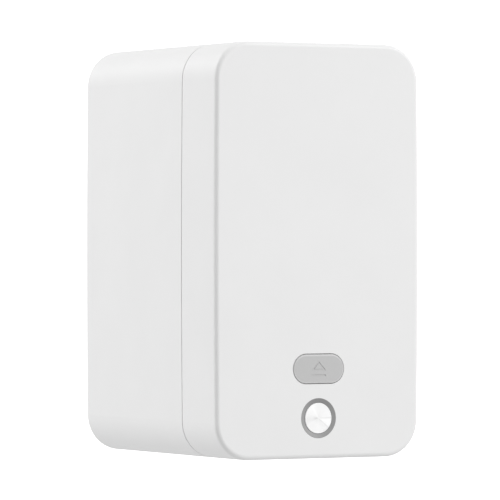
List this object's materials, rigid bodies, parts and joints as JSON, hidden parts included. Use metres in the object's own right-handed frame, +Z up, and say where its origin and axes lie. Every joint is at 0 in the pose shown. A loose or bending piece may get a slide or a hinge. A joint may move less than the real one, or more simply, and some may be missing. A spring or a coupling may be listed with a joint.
{
  "type": "thermal_label_printer",
  "caption": "Upright white pocket thermal label printer with a bottom-hinged front cover, oval grey release button and round power button",
  "frame": {"origin": "centre of the footprint, on the plane the rubber feet rest on", "axes": "+Z up, -Y the front with the buttons, +X to the right seen from the front"},
  "size_m": [0.0754, 0.0899, 0.1334],
  "materials": {
    "white_case": "satin, fine texture",
    "grey_button": "satin",
    "ring_grey": "satin translucent grey",
    "spun_metal": "circular spun finish",
    "frame_plastic": "matt moulded",
    "dark_plastic": "matt moulded",
    "guide_plastic": "satin moulded",
    "gear_plastic": "smooth natural acetal",
    "rubber_black": "matt",
    "steel": "brushed",
    "spring_steel": "drawn wire and strip",
    "alu": "milled",
    "bronze": "sintered",
    "ceramic_head": "glazed",
    "board_green": "solder mask over glass-epoxy laminate",
    "cell_wrap": "shrink sleeve",
    "flex_film": "white polyester film"
  },
  "bodies": {
    "case": {"rear_shell": "white_case", "roll_bay_frame": "frame_plastic", "rubber_feet": "rubber_black", "battery_pack": "cell_wrap", "main_board": "board_green", "board_components": "dark_plastic", "usb_c_socket": "steel", "board_screws": "steel", "frame_screws": "steel", "hinge_rods": "steel", "hinge_torsion_springs": "spring_steel", "latch_catch_springs": "spring_steel", "catch_screws": "steel", "tear_bar": "steel", "gap_sensor": "dark_plastic", "cover_switch": "dark_plastic", "stepper_motor": "steel", "motor_screws": "steel", "gear_axles": "steel", "head_pivot_pin": "steel", "head_springs": "spring_steel", "rack_cover": "steel", "rack_cover_screws": "steel", "head_ribbon": "flex_film"},
    "cover": {"front_cover": "white_case", "cover_inner_panel": "frame_plastic", "panel_screws": "steel", "power_light_ring": "ring_grey", "button_board": "board_green", "power_switch": "dark_plastic", "button_board_screws": "steel", "platen_bushes": "bronze", "button_ribbon": "flex_film", "latch_return_springs": "spring_steel"},
    "open_button_body": {"open_button": "grey_button"},
    "latch": {"latch_slider": "dark_plastic"},
    "power_button": {"power_button_cap": "spun_metal", "power_button_stem": "dark_plastic"},
    "platen": {"platen_rubber": "rubber_black", "platen_shaft": "steel", "platen_gear": "gear_plastic"},
    "motor_rotor": {"motor_shaft": "steel", "motor_pinion": "bronze"},
    "reduction": {"reduction_gear": "gear_plastic"},
    "idler": {"idler_gear": "gear_plastic"},
    "print_head": {"print_head_heatsink": "alu", "print_head_ceramic": "ceramic_head", "print_head_driver_cover": "dark_plastic", "print_head_bracket": "steel"},
    "guide_left": {"left_roll_guide": "guide_plastic"},
    "guide_right": {"right_roll_guide": "guide_plastic"},
    "guide_gear": {"guide_pinion": "gear_plastic"}
  },
  "joints": [
    {"name": "cover_hinge", "type": "hinge", "parent": "case", "child": "cover", "pos_m": [0, -0.0176, 0.004], "axis": [1, 0, 0], "range_deg": [0, 85], "deforming": ["latch_catch_springs", "hinge_torsion_springs", "button_ribbon"]},
    {"name": "open_button_press", "type": "slide", "parent": "cover", "child": "open_button_body", "axis": [0, 1, 0], "range_m": [0, 0.002], "stiffness_N_per_m": 350, "springref_m": -0.003},
    {"name": "latch_slide", "type": "slide", "parent": "cover", "child": "latch", "axis": [0, 0, -1], "range_m": [0, 0.002], "deforming": ["latch_return_springs"]},
    {"name": "power_button_press", "type": "slide", "parent": "cover", "child": "power_button", "axis": [0, 1, 0], "range_m": [0, 0.0007], "stiffness_N_per_m": 600, "springref_m": -0.001},
    {"name": "platen_spin", "type": "hinge", "parent": "cover", "child": "platen", "pos_m": [0, -0.0292, 0.1176], "axis": [1, 0, 0], "continuous": true},
    {"name": "idler_spin", "type": "hinge", "parent": "case", "child": "idler", "pos_m": [0.0319, -0.01565, 0.1176], "axis": [1, 0, 0], "continuous": true},
    {"name": "reduction_spin", "type": "hinge", "parent": "case", "child": "reduction", "pos_m": [0.0325, -0.00734, 0.11063], "axis": [1, 0, 0], "continuous": true},
    {"name": "motor_spin", "type": "hinge", "parent": "case", "child": "motor_rotor", "pos_m": [0.024, 0.0031, 0.11665], "axis": [1, 0, 0], "continuous": true},
    {"name": "print_head_tilt", "type": "hinge", "parent": "case", "child": "print_head", "pos_m": [0, -0.0175, 0.1051], "axis": [-1, 0, 0], "range_deg": [0, 2.5], "stiffness_Nm_per_rad": 2, "springref_deg": -3.44, "deforming": ["head_springs"]},
    {"name": "guide_right_slide", "type": "slide", "parent": "case", "child": "guide_right", "axis": [1, 0, 0], "range_m": [-0.015, 0]},
    {"name": "guide_left_slide", "type": "slide", "parent": "case", "child": "guide_left", "axis": [-1, 0, 0], "range_m": [-0.015, 0]},
    {"name": "guide_gear_spin", "type": "hinge", "parent": "case", "child": "guide_gear", "pos_m": [0, 0.0397, 0.0686], "axis": [0, 1, 0], "range_deg": [-215, 0]}
  ],
  "couplings": [
    {"joint": "latch_slide", "follows": "open_button_press", "ratio": 1},
    {"joint": "idler_spin", "follows": "platen_spin", "ratio": -1.1429},
    {"joint": "reduction_spin", "follows": "platen_spin", "ratio": 1.6},
    {"joint": "motor_spin", "follows": "platen_spin", "ratio": -4.8},
    {"joint": "guide_left_slide", "follows": "guide_right_slide", "ratio": 1},
    {"joint": "guide_gear_spin", "follows": "guide_right_slide", "rad_per_m": 250}
  ]
}
